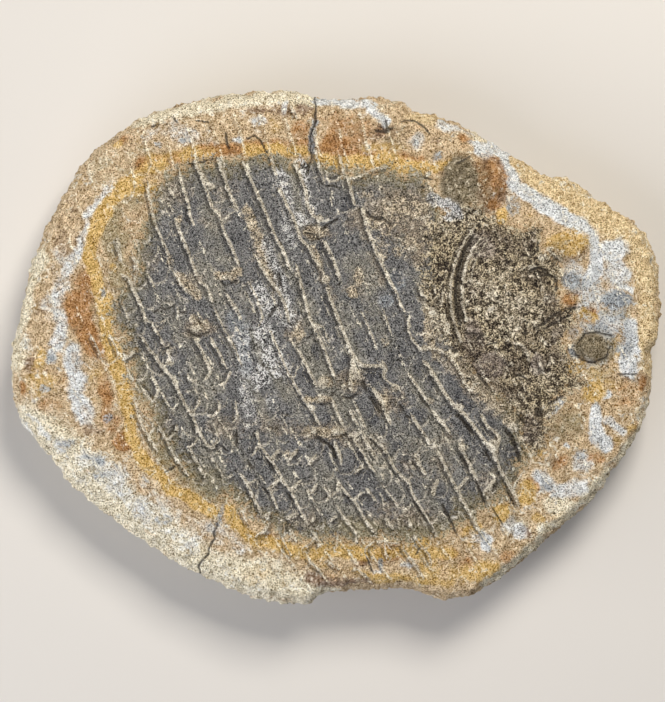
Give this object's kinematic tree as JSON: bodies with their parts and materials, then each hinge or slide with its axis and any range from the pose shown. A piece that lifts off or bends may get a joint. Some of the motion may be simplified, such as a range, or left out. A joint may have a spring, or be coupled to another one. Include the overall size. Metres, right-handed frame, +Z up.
{
  "type": "fossil fish in a split stone nodule",
  "caption": "Oval half of a split stone nodule, domed at the back, with the leaning scale rows of a fossil fish's trunk in low relief on its face.",
  "frame": {"origin": "centre of the bounding box's underside, on the flat rest face of the domed back", "axes": "+X towards the fish's head end along the nodule's length, +Y towards the fish's back, +Z up out of the split face"},
  "size_m": [0.17, 0.1344, 0.0251],
  "materials": {
    "fossil_stone": "rough split ironstone and siltstone: dark blue-grey fossil scales, ochre halo, pale weathered rind"
  },
  "bodies": {
    "root": {"fossil_nodule": "fossil_stone"}
  },
  "joints": []
}
